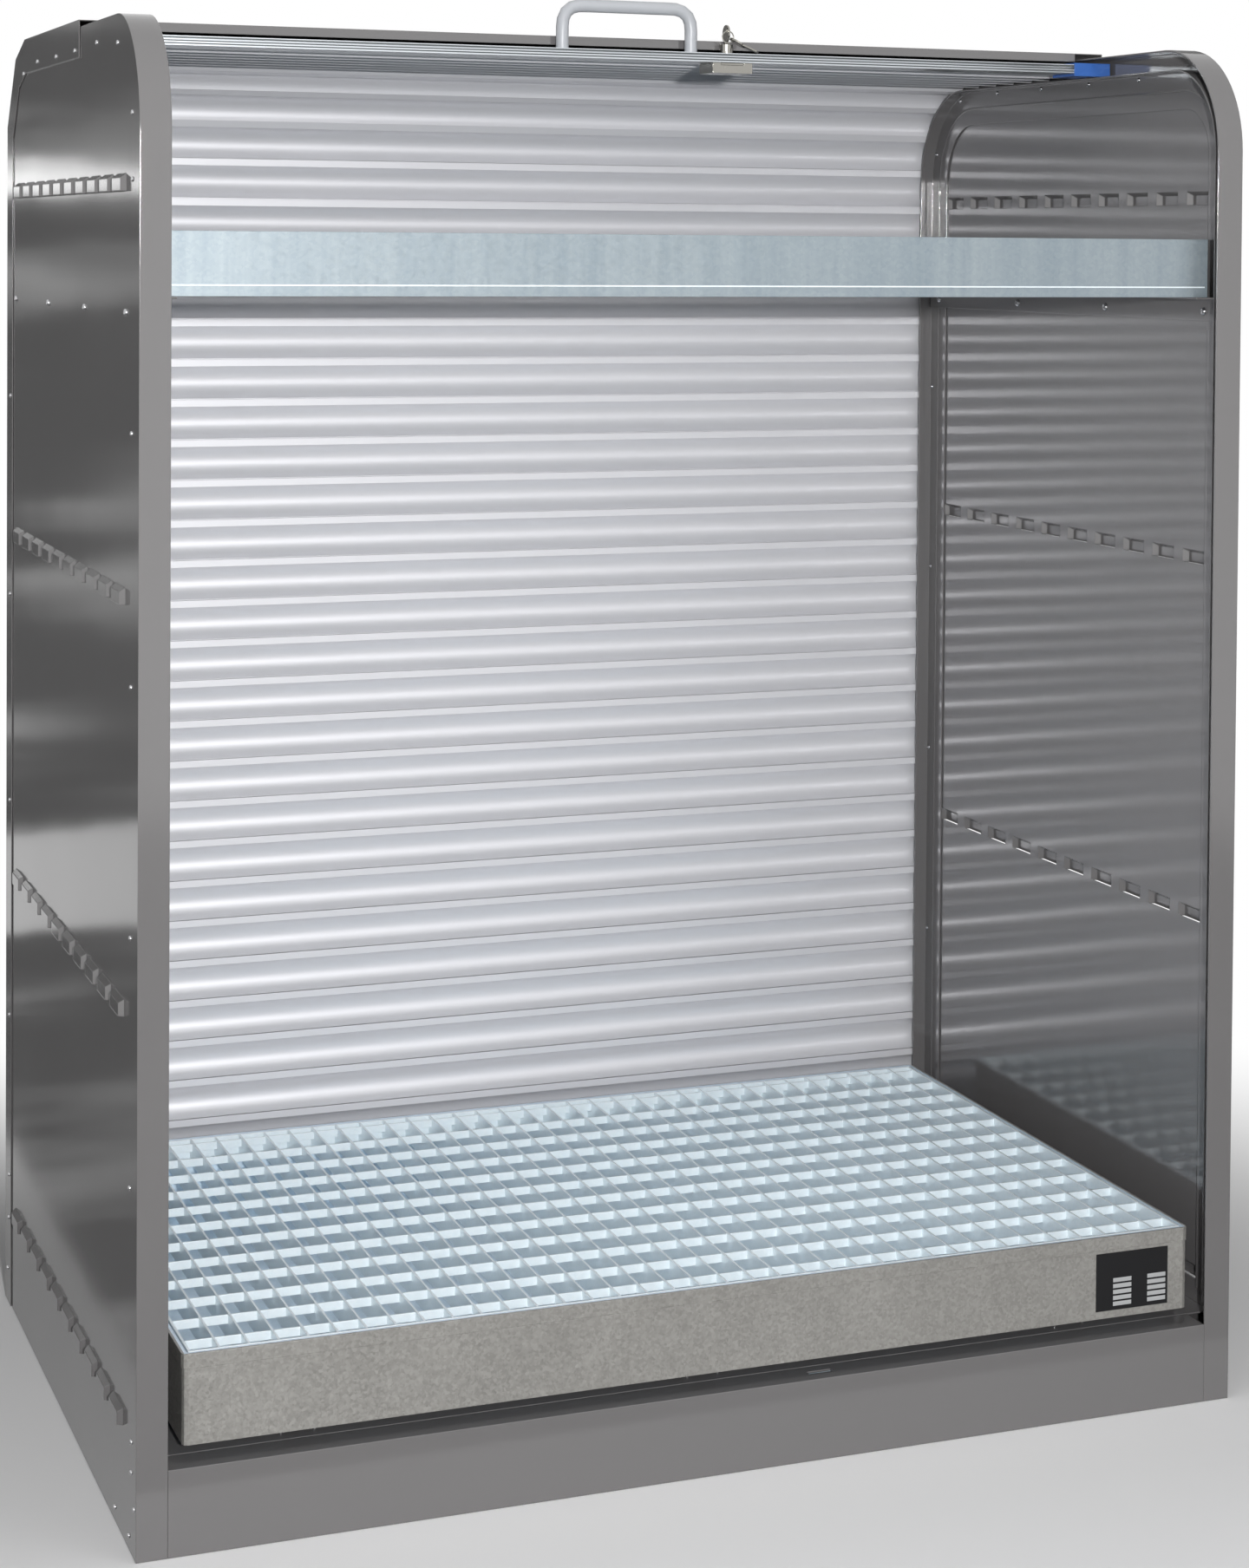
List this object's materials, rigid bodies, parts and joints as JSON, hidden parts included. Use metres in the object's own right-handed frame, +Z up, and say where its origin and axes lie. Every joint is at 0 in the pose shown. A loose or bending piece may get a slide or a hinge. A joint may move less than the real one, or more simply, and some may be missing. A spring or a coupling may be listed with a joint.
{
  "type": "roller shutter cabinet",
  "caption": "Grey steel hazardous materials cabinet with an open aluminium roller shutter, louvred side walls, a sump tray under a grating and a shelf tray",
  "frame": {"origin": "on the floor, at the middle of the whole footprint", "axes": "X to the right along the width, Y to the back, Z up"},
  "size_m": [1.352, 0.898, 1.7114],
  "materials": {
    "paint": "smooth gloss grey paint",
    "galvanised": "galvanised with a fine spangle",
    "slats": "bright mill aluminium",
    "caps": "smooth blue plastic",
    "handle": "light grey paint",
    "lock": "nickel plated"
  },
  "bodies": {
    "frame": {"side_wall_left": "paint", "side_wall_right": "paint", "rear_cover": "paint", "plinth_front": "paint", "strike_plate": "galvanised", "floor_pan": "paint", "guide_rail_left": "paint", "guide_rail_right": "paint", "shelf_angle_left": "paint", "shelf_angle_right": "paint"},
    "rear_curtain": {"slat_13": "slats", "slat_14": "slats", "slat_15": "slats", "slat_16": "slats", "slat_17": "slats", "slat_18": "slats", "slat_19": "slats", "slat_20": "slats", "slat_21": "slats", "slat_22": "slats", "slat_23": "slats", "slat_24": "slats", "slat_25": "slats", "slat_26": "slats", "slat_27": "slats", "slat_28": "slats", "slat_29": "slats", "slat_30": "slats", "slat_31": "slats", "slat_32": "slats", "slat_33": "slats", "slat_34": "slats", "slat_35": "slats", "slat_36": "slats"},
    "top_run": {"slat_01": "slats", "slat_02": "slats", "slat_03": "slats", "slat_04": "slats", "slat_05": "slats", "slat_06": "slats", "leading_bar": "slats", "end_cap_left": "caps", "end_cap_right": "caps", "handle": "handle", "lock_housing": "lock", "lock_cylinder": "lock"},
    "key_plug": {"lock_plug": "lock", "key": "lock", "key_ring": "lock", "spare_key": "lock"},
    "lock_bolt": {"lock_bolt": "lock"},
    "sump": {"sump_tray": "galvanised"},
    "grate": {"grating": "galvanised"},
    "shelf": {"shelf_tray": "galvanised"},
    "curve_slat_12": {"slat_12": "slats"},
    "curve_slat_11": {"slat_11": "slats"},
    "curve_slat_10": {"slat_10": "slats"},
    "curve_slat_09": {"slat_09": "slats"},
    "curve_slat_08": {"slat_08": "slats"},
    "curve_slat_07": {"slat_07": "slats"}
  },
  "joints": [
    {"name": "shutter_travel", "type": "slide", "parent": "frame", "child": "rear_curtain", "axis": [0, 0, 1], "range_m": [0, 0.0542]},
    {"name": "top_run_travel", "type": "slide", "parent": "frame", "child": "top_run", "axis": [0, -1, 0], "range_m": [0, 0.0542]},
    {"name": "turn_slat_12", "type": "hinge", "parent": "frame", "child": "curve_slat_12", "pos_m": [0, -0.6032, 1.4391], "axis": [1, 0, 0], "range_deg": [0, 3.02]},
    {"name": "turn_slat_11", "type": "hinge", "parent": "frame", "child": "curve_slat_11", "pos_m": [0, 0.2002, 1.4802], "axis": [1, 0, 0], "range_deg": [0, 13.9]},
    {"name": "turn_slat_10", "type": "hinge", "parent": "frame", "child": "curve_slat_10", "pos_m": [0, 0.2844, 1.5037], "axis": [1, 0, 0], "range_deg": [0, 22.4]},
    {"name": "turn_slat_09", "type": "hinge", "parent": "frame", "child": "curve_slat_09", "pos_m": [0, 0.2963, 1.5136], "axis": [1, 0, 0], "range_deg": [0, 25.02]},
    {"name": "turn_slat_08", "type": "hinge", "parent": "frame", "child": "curve_slat_08", "pos_m": [0, 0.2796, 1.4742], "axis": [1, 0, 0], "range_deg": [0, 18.45]},
    {"name": "turn_slat_07", "type": "hinge", "parent": "frame", "child": "curve_slat_07", "pos_m": [0, 0.2511, 1.2135], "axis": [1, 0, 0], "range_deg": [0, 7.18]},
    {"name": "key_turn", "type": "hinge", "parent": "top_run", "child": "key_plug", "pos_m": [0.133, -0.09791, 1.66], "axis": [0, 0, -1], "range_deg": [0, 90]},
    {"name": "bolt_throw", "type": "slide", "parent": "top_run", "child": "lock_bolt", "axis": [0, -1, 0], "range_m": [0, 0.0113]},
    {"name": "sump_slide", "type": "slide", "parent": "frame", "child": "sump", "axis": [0, -1, 0], "range_m": [0, 0.75]},
    {"name": "grating_lift", "type": "slide", "parent": "sump", "child": "grate", "axis": [0, 0, 1], "range_m": [0, 0.3]},
    {"name": "shelf_lift", "type": "slide", "parent": "frame", "child": "shelf", "axis": [0, 0, 1], "range_m": [0, 0.1]}
  ],
  "couplings": [
    {"joint": "top_run_travel", "follows": "shutter_travel", "ratio": 1},
    {"joint": "turn_slat_12", "follows": "shutter_travel", "rad_per_m": 0.96766},
    {"joint": "turn_slat_11", "follows": "shutter_travel", "rad_per_m": 4.4699},
    {"joint": "turn_slat_10", "follows": "shutter_travel", "rad_per_m": 7.2096},
    {"joint": "turn_slat_09", "follows": "shutter_travel", "rad_per_m": 8.0523},
    {"joint": "turn_slat_08", "follows": "shutter_travel", "rad_per_m": 5.9377},
    {"joint": "turn_slat_07", "follows": "shutter_travel", "rad_per_m": 2.3069},
    {"joint": "bolt_throw", "follows": "key_turn", "m_per_rad": 0.007194}
  ]
}
